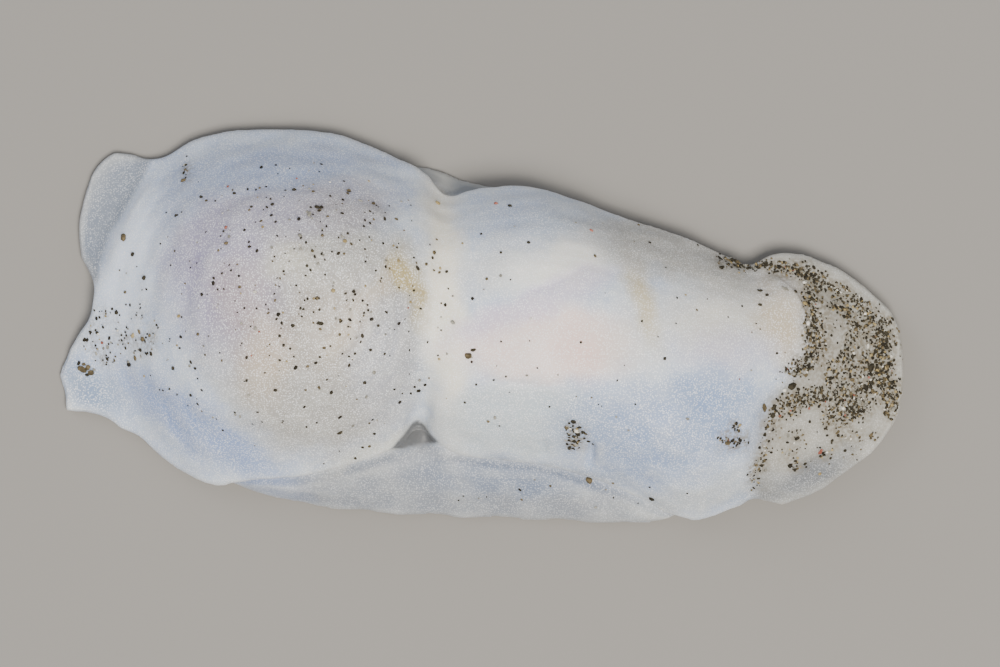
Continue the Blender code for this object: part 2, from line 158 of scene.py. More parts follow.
def soft_light(name, place, size, power, tint):
    """A square area light that looks at the middle of the animal."""
    bpy.ops.object.light_add(type="AREA", location=[p * MM for p in place])
    light = bpy.context.object
    light.name = name
    light.data.size = size * MM
    light.data.energy = power
    light.data.color = linear(tint)[:3]
    aim = Vector((0.0, 0.0, AIM_HEIGHT * MM)) - light.location
    light.rotation_euler = aim.to_track_quat("-Z", "Y").to_euler()


floor = studio_floor()
soft_light("key_light", (60.0, -115.0, 330.0), 150.0, 2.05, "fffaf2")
soft_light("fill_light", (-260.0, 190.0, 200.0), 220.0, 0.56, "eef3ff")
world = bpy.data.worlds.new("soft_room")
bpy.context.scene.world = world
world.use_nodes = True
world.node_tree.nodes["Background"].inputs["Color"].default_value = linear("eef0f4")
world.node_tree.nodes["Background"].inputs["Strength"].default_value = WORLD_STRENGTH
print("stage is set")

# %% [markdown]
# ## One skin over all the flesh
# The real body is one soft piece, so its skin has no seams. It could be modelled afresh,
# but the solids already hold the true outline and heights. So copies of them are joined,
# swollen a little until the thin cuts between them close, remeshed into one surface, and
# drawn back in by the same amount. That leaves soft folds where the cuts were.

# %% Join copies of the solids
FLESH = ["foot", "tail_shield", "head_shield", "head_front", "tail_lobe_right", "tail_lobe_left",
         "parapodium_right", "parapodium_left"]
WELD = 0.001


def joined_copy(names):
    """One object with copies of the named solids, their loose triangles welded."""
    copies = []
    for name in names:
        copy = bpy.data.objects.new("copy_of_" + name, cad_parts[name].data.copy())
        bpy.context.scene.collection.objects.link(copy)
        copies.append(copy)
    pick(*copies)
    bpy.ops.object.join()
    whole = bpy.context.object
    bpy.ops.object.mode_set(mode="EDIT")
    bpy.ops.mesh.select_all(action="SELECT")
    bpy.ops.mesh.remove_doubles(threshold=WELD * MM)
    bpy.ops.object.mode_set(mode="OBJECT")
    return whole


skin = joined_copy(FLESH)
print("joined", len(FLESH), "solids,", len(skin.data.vertices), "points")

# %% Close the cuts and remesh
CLOSING = 0.19
VOXEL = 0.13
SMOOTH_SWOLLEN = 3
SMOOTH_DRAWN_IN = 4


def apply_modifier(piece, kind, **settings):
    """Adds one modifier and applies it at once."""
    pick(piece)
    modifier = piece.modifiers.new(kind.lower(), kind)
    for name, value in settings.items():
        setattr(modifier, name, value)
    bpy.ops.object.modifier_apply(modifier=modifier.name)


def keep_largest_shell(piece):
    """Deletes closed pockets that fusing leaves inside."""
    pick(piece)
    bpy.ops.mesh.separate(type="LOOSE")
    shells = sorted(bpy.context.selected_objects, key=lambda o: len(o.data.vertices), reverse=True)
    for scrap in shells[1:]:
        bpy.data.objects.remove(scrap, do_unlink=True)
    pick(shells[0])
    return shells[0]


apply_modifier(skin, "DISPLACE", direction="NORMAL", mid_level=0.0, strength=CLOSING * MM)
apply_modifier(skin, "REMESH", mode="VOXEL", voxel_size=VOXEL * MM, use_smooth_shade=True)
skin = keep_largest_shell(skin)
apply_modifier(skin, "SMOOTH", factor=0.5, iterations=SMOOTH_SWOLLEN)
apply_modifier(skin, "DISPLACE", direction="NORMAL", mid_level=0.0, strength=-CLOSING * MM)
apply_modifier(skin, "SMOOTH", factor=0.5, iterations=SMOOTH_DRAWN_IN)
skin.name = "slug_skin"
skin.data.materials.clear()
print("skin has", len(skin.data.polygons), "faces")

# %% [markdown]
# ## Which part each point belongs to
# The folds between the parts have to be sharpened or smoothed one by one, and the colours
# change from part to part. So each point of the skin learns how near it lies to each solid,
# as a soft share between 0 and 1. The underside is never seen close, so it gets fewer faces
# first. All later steps work on the points as arrays, because that is quick.

# %% Thin out the underside
FACING_DOWN = -0.7
UNDERSIDE_SHARE = 0.77


def read_points(mesh):
    """A mesh's points as an array, in millimetres."""
    values = np.empty(len(mesh.vertices) * 3, dtype=np.float32)
    mesh.vertices.foreach_get("co", values)
    return values.reshape(-1, 3).astype(float) / MM


def write_points(mesh, points):
    """Puts points in millimetres back into a mesh."""
    mesh.vertices.foreach_set("co", (points * MM).astype(np.float32).ravel())
    mesh.update()


def normals_of(mesh):
    """Vertex normals as an array."""
    values = np.empty(len(mesh.vertices) * 3, dtype=np.float32)
    mesh.vertex_normals.foreach_get("vector", values)
    return values.reshape(-1, 3).astype(float)


underside = skin.vertex_groups.new(name="underside")
facing_down = np.flatnonzero(normals_of(skin.data)[:, 2] < FACING_DOWN)
underside.add(facing_down.tolist(), 1.0, "ADD")
apply_modifier(skin, "DECIMATE", ratio=UNDERSIDE_SHARE, vertex_group="underside")
skin.vertex_groups.clear()
points = read_points(skin.data)
print("underside thinned out, skin has", len(skin.data.polygons), "faces")

# %% Measure the shares
SHARE_BLUR = 0.3


def distance_to_solid(name):
    """How far each point lies from one solid's surface, in millimetres."""
    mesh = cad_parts[name].data
    tree = BVHTree.FromPolygons([v.co[:] for v in mesh.vertices], [p.vertices[:] for p in mesh.polygons])
    return np.array([tree.find_nearest(Vector(p))[3] for p in points * MM]) / MM


distances = {name: distance_to_solid(name) for name in FLESH}
nearest = np.minimum.reduce(list(distances.values()))
weights = {name: np.exp(-((away - nearest) / SHARE_BLUR) ** 2) for name, away in distances.items()}
total_weight = sum(weights.values())
share = {name: weight / total_weight for name, weight in weights.items()}
print({name: round(float(part.mean()), 3) for name, part in share.items()})

# %% [markdown]
# ## Sculpting in code
# The photo shows faint relief on the soft skin. A sculptor would brush it in by hand. Here
# each form is a small push along the skin's own direction, given by a plain formula of where
# the point lies, so that it is repeatable and can be measured. That takes a few tools: one
# that evens values out over the surface, and some that say where on the body a form lies.

# %% Tools that even things out
def edges_of(mesh):
    """Both ends of every edge."""
    pairs = np.empty(len(mesh.edges) * 2, dtype=np.int32)
    mesh.edges.foreach_get("vertices", pairs)
    return pairs.reshape(-1, 2)


def neighbour_mean(values):
    """The mean of every point's neighbours."""
    count = len(values)
    number = np.bincount(ends.ravel(), minlength=count)
    columns = values.reshape(count, -1)
    means = np.empty_like(columns)
    for k in range(columns.shape[1]):
        total = np.bincount(ends[:, 0], columns[ends[:, 1], k], count)
        total += np.bincount(ends[:, 1], columns[ends[:, 0], k], count)
        means[:, k] = total / np.maximum(number, 1)
    return means.reshape(values.shape)


def evened(values, amount, rounds):
    """Values drawn towards their neighbours' mean, each round by its own amount from 0 to 1."""
    amount = amount.reshape((-1,) + (1,) * (values.ndim - 1))
    for _ in range(rounds):
        values = values + amount * (neighbour_mean(values) - values)
    return values


def blurred(values, rounds):
    """Values spread out evenly over the surface."""
    for _ in range(rounds):
        values = 0.4 * values + 0.6 * neighbour_mean(values)
    return values


ends = edges_of(skin.data)
print(len(ends), "edges to work on")

# %% Tools that say where a form lies
def ramp(values, start, stop):
    """0 up to start, 1 from stop on, and an S between; start may be the higher one."""
    t = np.clip((values - start) / (stop - start), 0.0, 1.0)
    return t * t * (3.0 - 2.0 * t)


def near(middle, reach):
    """1 at a place on the plan, fading out over a reach."""
    return np.exp(-((points[:, 0] - middle[0]) ** 2 + (points[:, 1] - middle[1]) ** 2) / reach ** 2)


def beside_line(line):
    """Plan distance to a line of points, which side of it, and how far along it, from 0 to 1."""
    best = np.full(len(points), np.inf)
    side = np.zeros(len(points))
    way = np.zeros(len(points))
    line = np.asarray(line, float)
    for k in range(len(line) - 1):
        run = line[k + 1] - line[k]
        off = points[:, :2] - line[k]
        t = np.clip(off @ run / (run @ run), 0.0, 1.0)
        gap = off - t[:, None] * run
        away = np.hypot(gap[:, 0], gap[:, 1])
        closer = away < best
        best = np.where(closer, away, best)
        side = np.where(closer, np.sign(run[0] * off[:, 1] - run[1] * off[:, 0]), side)
        way = np.where(closer, (k + t) / (len(line) - 1), way)
    return best, side, way


def inside_triangle(corners, softness):
    """1 inside a triangle on the plan, 0 outside it, with a soft edge."""
    corners = np.asarray(corners, float)
    inside = np.full(len(points), np.inf)
    for k in range(3):
        start, stop = corners[k], corners[(k + 1) % 3]
        run = (stop - start) / np.linalg.norm(stop - start)
        off = points[:, :2] - start
        inside = np.minimum(inside, run[0] * off[:, 1] - run[1] * off[:, 0])
    return ramp(inside, -softness / 2, softness / 2)


def seam(first, second):
    """1 on the fold between two parts, 0 away from it."""
    return np.clip(4.0 * share[first] * share[second], 0.0, 1.0)


def unevenness(length, seed):
    """Soft waves of about one length in all directions, from about -1 to 1."""
    draw = np.random.default_rng(seed)
    total = np.zeros(len(points))
    for _ in range(10):
        way = draw.normal(size=3)
        way *= 2.0 * np.pi / (np.linalg.norm(way) * length * draw.uniform(0.7, 1.5))
        total += np.sin(points @ way + draw.uniform(0.0, 2.0 * np.pi))
    return total / 4.0


print("forms can be placed")

# %% Smooth the seams that the animal doesn't have
BRUSH = 0.6
SEAM_ROUNDS = 14
# each seam: the two parts beside it, and how far it is smoothed, up to 1
SMOOTHED_SEAMS = [
    ("tail_shield", "tail_lobe_right", 1.0),
    ("tail_shield", "tail_lobe_left", 1.0),
    ("head_shield", "head_front", 0.6),
    ("tail_shield", "head_shield", 1.0),
]

faded = sum(amount * seam(first, second) for first, second, amount in SMOOTHED_SEAMS)
faded = blurred(np.clip(faded, 0.0, 1.0), 3)
points = evened(points, BRUSH * faded, SEAM_ROUNDS)
write_points(skin.data, points)
normals = normals_of(skin.data)
upward = ramp(normals[:, 2], 0.1, 0.6)
print("smoothed", int((faded > 0.3).sum()), "points by the seams")

# %% [markdown]
# ## Relief
# On the tail the disc of the hidden shell stands out faintly, with growth lines on its head
# side. The neck is a shallow valley with small puckers, and by it opens a small dark pocket
# between the two shields and the right flap. Short folds cross the head shield, the front
# lobe and the edge of the left tail lobe. Each fold is a line on the plan with a depth and
# a width. The whole skin is a little uneven, as soft flesh is.

# %% Where the folds and the pocket lie
NECK = [(-2.93, -4.7), (-2.3, -2.6), (-1.9, 0.5), (-1.72, 3.6), (-1.48, 6.15)]
LOBE_EDGE = [(-15.6, 7.6), (-16.1, 6.65), (-17.0, 5.05), (-17.5, 4.35), (-17.95, 2.8), (-18.0, 2.3)]
# each fold: its line, its depth, its width, and the share of its length over which it fades
FOLDS = [
    ([(-0.3, -2.3), (1.1, -2.55), (2.6, -2.75), (4.3, -2.6), (6.0, -2.4)], 0.07, 0.16, 0.25),
    ([(1.6, 1.3), (3.6, 2.0), (5.4, 3.1)], 0.05, 0.2, 0.25),
    ([(5.25, -5.2), (5.15, -6.0), (5.1, -6.9)], 0.32, 0.17, 0.4),
    ([(2.9, -5.2), (3.05, -6.2)], 0.12, 0.2, 0.25),
    ([(16.9, -5.25), (17.6, -5.7), (18.3, -5.45)], 0.12, 0.16, 0.25),
    (LOBE_EDGE, 0.1, 0.16, 0.25),
]
NECK_POCKET = [(-2.95, -4.6), (-4.1, -5.75), (-2.0, -5.4)]
POCKET_SOFTNESS = 0.28
POCKET_CORNERS = [(-2.0, -5.45), (-3.6, -5.55)]
CORNER_REACH = 0.5

pocket_plan = inside_triangle(NECK_POCKET, POCKET_SOFTNESS) * ramp(points[:, 2], 1.0, 1.5)
pocket = blurred(pocket_plan * upward, 6)
at_corners = sum(near(corner, CORNER_REACH) for corner in POCKET_CORNERS)
print(len(FOLDS), "folds, and", int((pocket > 0.5).sum()), "points in the pocket")

# %% Push the relief
SHELL_MIDDLE = (-7.95, 0.75)
SHELL_RADII = (5.3, 5.7)
SHELL_RISE = 0.12
GROWTH_LINE = 0.014
GROWTH_WAVES = 46.0
NECK_WIDTH = 0.45
NECK_DEPTHS = (0.05, 0.27)
PUCKER = 0.025
PUCKER_WAVES = 62.0
SEAM_PRESS = 0.3
# each unevenness: its height, its length and the seed of its draw
UNEVENNESS = [(0.055, 4.5, 11), (0.028, 1.6, 12)]


def shell_relief():
    """The faint disc of the shell under the skin, with growth lines on its head side."""
    x = (points[:, 0] - SHELL_MIDDLE[0]) / SHELL_RADII[0]
    y = (points[:, 1] - SHELL_MIDDLE[1]) / SHELL_RADII[1]
    reach = np.hypot(x, y)
    headward = ramp(x, 0.2, 0.7) * ramp(reach, 1.0, 0.9)
    return SHELL_RISE * ramp(reach, 1.08, 0.92) + GROWTH_LINE * np.sin(reach * GROWTH_WAVES) * headward


def neck_relief():
    """The bend at the neck: a shallow valley that deepens on the right, and small puckers."""
    away, _, way = beside_line(NECK)
    shallow, deep = NECK_DEPTHS
    valley = -(shallow + (deep - shallow) * ramp(way, 0.3, 0.0)) * np.exp(-(away / NECK_WIDTH) ** 2)
    puckers = PUCKER * np.sin(way * PUCKER_WAVES) * np.exp(-(away / (2.0 * NECK_WIDTH)) ** 2)
    return valley + puckers * (0.5 + 0.5 * unevenness(3.0, 5))


def fold(line, depth, width, fade):
    """A narrow dent along a line, which fades out at its ends."""
    away, _, way = beside_line(line)
    return -depth * ramp(way, 0.0, fade) * ramp(way, 1.0, 1.0 - fade) * np.exp(-(away / width) ** 2)


flap_seam = seam("head_shield", "parapodium_right") + seam("tail_shield", "parapodium_right")
relief = upward * (shell_relief() + neck_relief() + sum(fold(*one) for one in FOLDS))
relief -= SEAM_PRESS * (1.0 - np.minimum(at_corners, 1.0)) * flap_seam
relief += sum(height * unevenness(length, seed) for height, length, seed in UNEVENNESS)
relief *= ramp(points[:, 2], 0.0, 0.5)
points = points + normals * relief[:, None]
print("relief from", round(float(relief.min()), 2), "to", round(float(relief.max()), 2), "mm")

# %% Press the pocket in
POCKET_DEPTH = 0.18

plan = np.column_stack([points[:, :2], np.ones(len(points))])
level = np.linalg.lstsq(plan[pocket > 0.5], points[pocket > 0.5, 2], rcond=None)[0]
points[:, 2] += pocket * (plan @ level - POCKET_DEPTH - points[:, 2])
points[:, 2] = np.maximum(points[:, 2], 0.0)
print("the pocket's floor is at", round(float(points[pocket > 0.9, 2].mean()), 2), "mm")

# %% [markdown]
# ## Margins
# The free margins of the shields and flaps are thin and a little wavy. A point is on a
# margin where it stands out of its blurred surroundings, so that measure finds them all at
# once. Fusing the solids also left some rough places: notches at the cuts beside the lobes,
# a ragged line where the left flap meets the underside of the head shield, and the corners
# of the pocket. Those are evened out as a smoothing brush would do it.

# %% Ripple the margins
# each ripple: its height, its length and the seed of its draw
RIPPLES = [(0.1, 1.9, 21), (0.05, 1.0, 31)]
SURROUNDINGS = 24
FIRST_RIM = 0.03
FULL_RIM = 0.11
RIPPLE_BRUSH = 0.5
RIPPLE_ROUNDS = 4


def bulge(rounds):
    """How far each point stands out of its blurred surroundings, in millimetres."""
    return np.einsum("ij,ij->i", points - blurred(points, rounds), normals)


rim = blurred(ramp(bulge(SURROUNDINGS), FIRST_RIM, FULL_RIM), 3)
for height, length, seed in RIPPLES:
    for axis in (0, 1):
        points[:, axis] += height * rim * unevenness(length, seed + axis)
points[:, :2] = evened(points[:, :2], RIPPLE_BRUSH * rim, RIPPLE_ROUNDS)
write_points(skin.data, points)
normals = normals_of(skin.data)
print("rippled", int((rim > 0.5).sum()), "points on the margins")

# %% Even out the rough places
ROUGH_SPOTS = [(13.65, 3.55), (4.4, 6.1), (5.6, 5.65)]
ROUGH_REACH = 0.5
RAGGED_ROUNDS = 30
CUT_FULL, CUT_NONE = 0.6, 1.3
CUT_ROUNDS = 24
POCKET_SHARE = 0.2
POCKET_ROUNDS = 16

under_shield = ramp(normals[:, 2], 0.3, 0.0) * ramp(points[:, 2], 0.3, 0.6)
ragged = under_shield * ramp(points[:, 0], 0.2, 1.0) * ramp(points[:, 1], 2.5, 3.0)
points = evened(points, BRUSH * ragged, RAGGED_ROUNDS)
for lobe in ("tail_lobe_right", "tail_lobe_left"):
    near_cut = ramp(np.maximum(distances["tail_shield"], distances[lobe]), CUT_NONE, CUT_FULL)
    near_cut += sum(near(middle, ROUGH_REACH) for middle in ROUGH_SPOTS)
    points = evened(points, BRUSH * np.minimum(near_cut, 1.0), CUT_ROUNDS)
near_pocket = np.clip(POCKET_SHARE * blurred(pocket_plan, 5) + at_corners, 0.0, 1.0)
points = evened(points, BRUSH * near_pocket, POCKET_ROUNDS)
print("evened out", int((ragged > 0.5).sum()), "points under the head shield")

# %% Round the margins
MARGIN_BRUSH = 0.7
MARGIN_ROUNDS = 16
EDGE_SURROUNDINGS = 30
FULL_EDGE = 0.09

# evening out the heights alone rounds a margin and keeps its outline
raised = ramp(points[:, 2], 0.15, 0.45)
points[:, 2] = evened(points[:, 2], MARGIN_BRUSH * rim * raised, MARGIN_ROUNDS)
write_points(skin.data, points)
normals = normals_of(skin.data)
# how far the skin bulges; it sets the painted highlight on the rims below
edge = blurred(np.clip(bulge(EDGE_SURROUNDINGS) / FULL_EDGE, -1.0, 1.0), 1)
print("heights from", round(float(points[:, 2].min()), 3), "to", round(float(points[:, 2].max()), 3), "mm")

# %% [markdown]
# ## What the material has to know
# Thin margins of this slug look bluish and glassy, and thick parts milky. So a ray is sent
# from each point through the flesh to the far side, and the thinness is kept on the skin
# as an attribute that the material reads. The same is done for the right flap, the front
# lobe and the left tail lobe, which have colours of their own, and for painted light: a
# highlight on the rims and on the pale lip where the shields lie on the flaps, and shade in
# the crease under that lip, in the pocket and on the left flap.

# %% Thinness as an attribute
THICK_AT = 3.2
THIN_AT = 0.4
NUDGE = 0.02
UPWARD_LEAN = 0.8
DEPTH_BLUR = 12


def store(name, values):
    """Keeps one number for every point of the skin."""
    field = skin.data.attributes.new(name, "FLOAT", "POINT")
    field.data.foreach_set("value", values.astype(np.float32))


def flesh_depth(directions):
    """How much flesh lies behind every point, in millimetres."""
    depth = np.empty(len(points))
    for k, (place, direction) in enumerate(zip(points, directions)):
        start = Vector((place - NUDGE * direction) * MM)
        hit = skin_tree.ray_cast(start, Vector(-direction))
        depth[k] = hit[3] / MM if hit[0] is not None else THICK_AT
    return depth


skin_tree = BVHTree.FromPolygons((points * MM).tolist(), [p.vertices[:] for p in skin.data.polygons])
leaning = normals + UPWARD_LEAN * upward[:, None] * np.array([0.0, 0.0, 1.0])
leaning /= np.linalg.norm(leaning, axis=1)[:, None]
depth = blurred(np.minimum(flesh_depth(leaning), THICK_AT), DEPTH_BLUR)
thin = ramp(depth, THICK_AT, THIN_AT)
store("thin", thin)
print("thin from", round(float(thin.min()), 2), "to", round(float(thin.max()), 2))

# %% Places with a colour of their own, painted highlights and painted shade
near_flaps = sum(seam(roof, flap) for roof in ("tail_shield", "head_shield")
                 for flap in ("parapodium_right", "parapodium_left"))
roofs = share["tail_shield"] + share["head_shield"]
pocket_rim = np.clip(3.0 * blurred(pocket, 10), 0.0, 1.0)
away, side, _ = beside_line(LOBE_EDGE)
lobe_zone = ramp(points[:, 0], -15.3, -15.9) * ramp(points[:, 1], 1.9, 2.3)

# painted highlight: the rims that bulge out are lightened as lit edges look, but not round the pocket
store("rim", np.clip(edge, 0.0, 1.0) * (1.0 - pocket_rim))
# painted shade: the crease under the shields' edges, where they lie on the flaps, is darkened
store("crevice_shade", blurred(near_flaps * ramp(roofs, 0.5, 0.2), 3))
# painted highlight: a pale line along the shields' edges over the flaps
store("lip", blurred(near_flaps * ramp(roofs, 0.5, 0.8), 2))
# painted shade: the pocket's floor and walls are darkened
store("pocket", np.clip(2.4 * blurred(pocket_plan, 2) - 0.15, 0.0, 1.0))
store("right_flap", blurred(share["parapodium_right"], 3))
# painted shade: the left flap, which lies low under the shields, is darkened
store("left_flap_shade", blurred(share["parapodium_left"], 3))
store("front", blurred(share["head_front"], 4))
store("lobe", lobe_zone * ramp(side * away, 0.225, -0.225))
print("attributes:", [field.name for field in skin.data.attributes if field.data_type == "FLOAT"])

# %% [markdown]
# ## Skin of a living slug
# The skin is clear, moist tissue over white glands. It scatters light, so it looks milky
# where it is thick. Fine white granules lie in it like stipple. They are drawn 0.085 mm
# apart, in places coarser than in life, which is as fine as the picture shows. The organs
# below tint the skin: lilac grey over the shell, pink on the head, ochre by the neck. The
# tints are soft ovals at measured places, so they stay put on the body from every side.

# %% Tints of the skin
# each tint: name, middle, radii, turn in degrees, softness, colour and strength
TINTS = [
    ("shell disc", (-7.5, -0.2), (5.2, 6.2), 0, 0.25, "a39b8a", 0.85),
    ("lilac gland", (-12.0, 2.7), (2.9, 4.2), 15, 0.6, "9c8eac", 0.85),
    ("lilac arc", (-8.7, 5.5), (4.6, 1.4), 6, 0.6, "aca4b8", 0.75),
    ("liver shadow", (-6.3, 5.3), (1.7, 0.8), 0, 0.7, "a09896", 0.6),
    ("blue arc left", (-9.2, 7.5), (5.4, 1.0), 5, 0.6, "a0b0d2", 0.9),
    ("blue arc behind", (-13.8, 6.2), (2.4, 1.1), 42, 0.7, "a8b8d4", 0.6),
    ("blue arc right", (-13.1, -4.8), (5.0, 1.2), -35, 0.6, "869ccc", 0.9),
    ("warm spot", (-9.9, -1.4), (1.3, 1.9), 0, 0.8, "c8ac84", 0.6),
    ("rosy spot", (-11.0, 1.5), (1.3, 1.6), 0, 0.8, "b8a08c", 0.45),
    ("warm middle", (-7.0, 0.0), (1.8, 2.2), 0, 0.8, "a8967e", 0.6),
    ("pale spot", (-8.8, 2.9), (1.2, 0.9), 10, 0.8, "d2ccae", 0.55),
    ("yellow arc", (-5.2, 0.8), (2.6, 0.55), 53, 0.8, "c4ae84", 0.8),
    ("lilac edge", (-4.6, -1.3), (1.5, 2.8), 0, 0.7, "a8aec4", 0.45),
    ("ochre smear", (-3.15, 1.8), (1.75, 0.55), -70, 0.7, "b09838", 0.9),
    ("neck", (-1.6, 1.0), (7.0, 1.0), 94, 0.6, "faf3de", 0.97),
    ("cream lip", (-4.6, -5.7), (3.0, 0.5), 25, 0.7, "d0ccb8", 0.6),
    ("blue patch", (1.6, 4.9), (2.1, 1.1), 10, 0.7, "aebcd6", 0.75),
    ("grey patch", (4.2, 4.6), (2.0, 0.8), -8, 0.7, "b0bccc", 0.7),
    ("pale shoulder", (0.6, 2.7), (1.5, 1.1), 30, 0.8, "e0dcd0", 0.6),
    ("white wedge", (4.0, 2.9), (2.6, 1.15), 12, 0.6, "fcf9ee", 0.97),
    ("pink band", (3.1, -0.9), (4.3, 1.95), 0, 0.4, "fae2d8", 0.95),
    ("lilac band", (2.4, 1.0), (4.2, 0.8), 23, 0.6, "d4c6dc", 0.75),
    ("pink front", (5.0, -1.2), (1.5, 1.4), 0, 0.8, "eabfae", 0.55),
    ("pale cheek", (7.0, -0.7), (1.5, 1.6), 0, 0.8, "dcd8cc", 0.55),
    ("yellow gland", (7.6, 1.2), (2.1, 0.6), -72, 0.8, "ceb66c", 0.75),
    ("grey nape", (9.9, 3.3), (5.0, 1.4), -17, 0.5, "b4ae9e", 0.85),
    ("pale crown", (11.6, 0.4), (3.7, 1.6), 0, 0.7, "e4dece", 0.85),
    ("ochre brow", (14.2, 0.2), (1.2, 2.0), 5, 0.8, "c4ac80", 0.8),
    ("lilac crown", (11.3, -1.2), (2.2, 1.0), 0, 0.8, "c6bcd0", 0.6),
    ("grey flank", (1.9, -4.4), (3.9, 1.75), 0, 0.25, "c2cccf", 0.85),
    ("blue flank", (8.0, -5.0), (4.4, 2.5), -5, 0.5, "8298c0", 0.9),
    ("blue brow", (10.9, -3.7), (2.3, 1.6), 0, 0.7, "7e98c4", 0.8),
    ("pale margin", (9.9, -8.1), (3.2, 0.9), 15, 0.7, "b4b8b6", 0.7),
    ("blue flap", (1.6, -7.1), (4.6, 0.8), -4, 0.7, "6a7890", 0.9),
    ("white rim behind", (-16.7, 2.4), (1.3, 3.9), -12, 0.7, "e6f0ff", 0.95),
    ("blue corner", (-18.5, -3.0), (1.7, 1.1), -30, 0.7, "768cac", 0.85),
    ("grey chin", (15.2, -7.2), (2.8, 1.1), 25, 0.7, "64676a", 0.85),
]
# each part: the attribute that says where it is, its strength and its colour
EARLY_PARTS = [("thin", 0.3, "a8b8d4"), ("front", 0.95, "a29c8a"), ("right_flap", 0.95, "84878b")]
# the left flap's colour is painted shade
LATE_PARTS = [("left_flap_shade", 0.85, "7c7b74"), ("lobe", 0.85, "6a7078")]
# rim and lip are painted highlights; the crease and the pocket are painted shade
EDGE_PARTS = [("rim", 0.6, "dcdbd2"), ("crevice_shade", 0.5, "767d90"), ("lip", 0.8, "f4f0e2"),
              ("pocket", 0.95, "504e47")]
# growth lines show in two ovals: middle, radii and turn in degrees
GROWTH_SPOTS = [((-5.6, 0.1), (1.5, 3.0), 10), ((-8.2, 3.0), (1.6, 0.8), 10)]
print(len(TINTS), "tints")

# %% Nodes that the materials share
def object_place(tree):
    """Where a point lies in the piece's own frame."""
    return add_node(tree, "ShaderNodeTexCoord").outputs["Object"]


def attribute(tree, name):
    """A number kept on the skin."""
    return add_node(tree, "ShaderNodeAttribute", {"attribute_name": name}).outputs["Fac"]


def mix_colour(tree, amount, first, second):
    """Mixes two colours or links by an amount."""
    made = add_node(tree, "ShaderNodeMix", {"data_type": "RGBA"}, {0: amount, 6: first, 7: second})
    return made.outputs[2]


def spread(tree, value, low, high, bottom=0.0, top=1.0):
    """A value stretched from low and high to bottom and top, with a soft start and end."""
    made = add_node(tree, "ShaderNodeMapRange", {"interpolation_type": "SMOOTHSTEP"},
                    {"Value": value, "From Min": low, "From Max": high, "To Min": bottom, "To Max": top})
    return made.outputs[0]


def times(tree, first, second):
    """Two values multiplied, held between 0 and 1."""
    made = add_node(tree, "ShaderNodeMath", {"operation": "MULTIPLY", "use_clamp": True},
                    {0: first, 1: second})
    return made.outputs[0]


def noise(tree, place, length, detail, roughness=0.5):
    """Cloudy noise with lumps of about one length, in millimetres."""
    return add_node(tree, "ShaderNodeTexNoise", {"noise_dimensions": "3D"},
                    {"Vector": place, "Scale": 1.0 / (length * MM), "Detail": detail,
                     "Roughness": roughness})


def from_oval(tree, place, middle, radii, turn=0.0):
    """Places measured from an oval's middle, with its radii as the units."""
    made = add_node(tree, "ShaderNodeMapping", {"vector_type": "TEXTURE"},
                    {"Vector": place, "Location": (middle[0] * MM, middle[1] * MM, 0.0),
                     "Rotation": (0.0, 0.0, np.radians(turn)),
                     "Scale": (radii[0] * MM, radii[1] * MM, 1.0)})
    return made.outputs[0]


def soft_spot(tree, place, middle, radii, turn, softness, strength):
    """A mask that is strong inside an oval on the plan, and fades to 0 outside it."""
    reach = add_node(tree, "ShaderNodeVectorMath", {"operation": "LENGTH"},
                     {0: from_oval(tree, place, middle, radii, turn)})
    return spread(tree, reach.outputs["Value"], 1.0 + 0.8 * softness, 1.0 - softness, 0.0, strength)


def with_parts(tree, colour, parts):
    """A colour with the parts' colours over it, where their attributes say; some are painted highlights and
    painted shade.
    """
    for name, strength, code in parts:
        colour = mix_colour(tree, times(tree, attribute(tree, name), strength), colour, linear(code))
    return colour


print("nodes can be linked")

# %% Colour of the flesh
MOTTLE = 1.1
WANDER = 1.6
WANDER_LENGTH = 1.8
RINGS_IN_SHELL = 3.2
GROWTH_LINE_STRENGTH = 0.26
GROWTH_SOFTNESS = 0.8


def wandering(tree, place):
    """Places shifted a little by noise, which gives the tints natural outlines."""
    drift = noise(tree, place, WANDER_LENGTH, 3.0).outputs["Color"]
    offset = add_node(tree, "ShaderNodeVectorMath", {"operation": "MULTIPLY_ADD"},
                      {0: drift, 1: (WANDER * MM,) * 3, 2: (-WANDER / 2 * MM,) * 3})
    made = add_node(tree, "ShaderNodeVectorMath", {"operation": "ADD"}, {0: place, 1: offset.outputs[0]})
    return made.outputs[0]


def flesh_colour(tree, place):
    """Bluish white mottle with the tints and the growth lines, and the parts' colours over it, with painted
    highlights and painted shade among them.
    """
    wander = wandering(tree, place)
    mottle = noise(tree, place, MOTTLE, 4.0, 0.55).outputs["Fac"]
    colour = mix_colour(tree, spread(tree, mottle, 0.35, 0.65), linear("c0cee4"), linear("d6dfe9"))
    colour = with_parts(tree, colour, EARLY_PARTS)
    for _, middle, radii, turn, softness, code, strength in TINTS:
        mask = soft_spot(tree, wander, middle, radii, turn, softness, strength)
        colour = mix_colour(tree, mask, colour, linear(code))
    colour = with_parts(tree, colour, LATE_PARTS)
    rings = add_node(tree, "ShaderNodeTexWave", {"wave_type": "RINGS", "rings_direction": "Z"},
                     {"Vector": from_oval(tree, wander, SHELL_MIDDLE, SHELL_RADII), "Scale": RINGS_IN_SHELL,
                      "Distortion": 2.5, "Detail": 2.0, "Detail Scale": 2.0})
    for middle, radii, turn in GROWTH_SPOTS:
        mask = soft_spot(tree, place, middle, radii, turn, GROWTH_SOFTNESS, GROWTH_LINE_STRENGTH)
        colour = mix_colour(tree, times(tree, rings.outputs["Fac"], mask), colour, linear("f0ecdf"))
    return with_parts(tree, colour, EDGE_PARTS)


# some of these parts are painted highlights and painted shade, not colours of the flesh
print("flesh has", len(EARLY_PARTS + LATE_PARTS + EDGE_PARTS), "parts with a colour of their own")

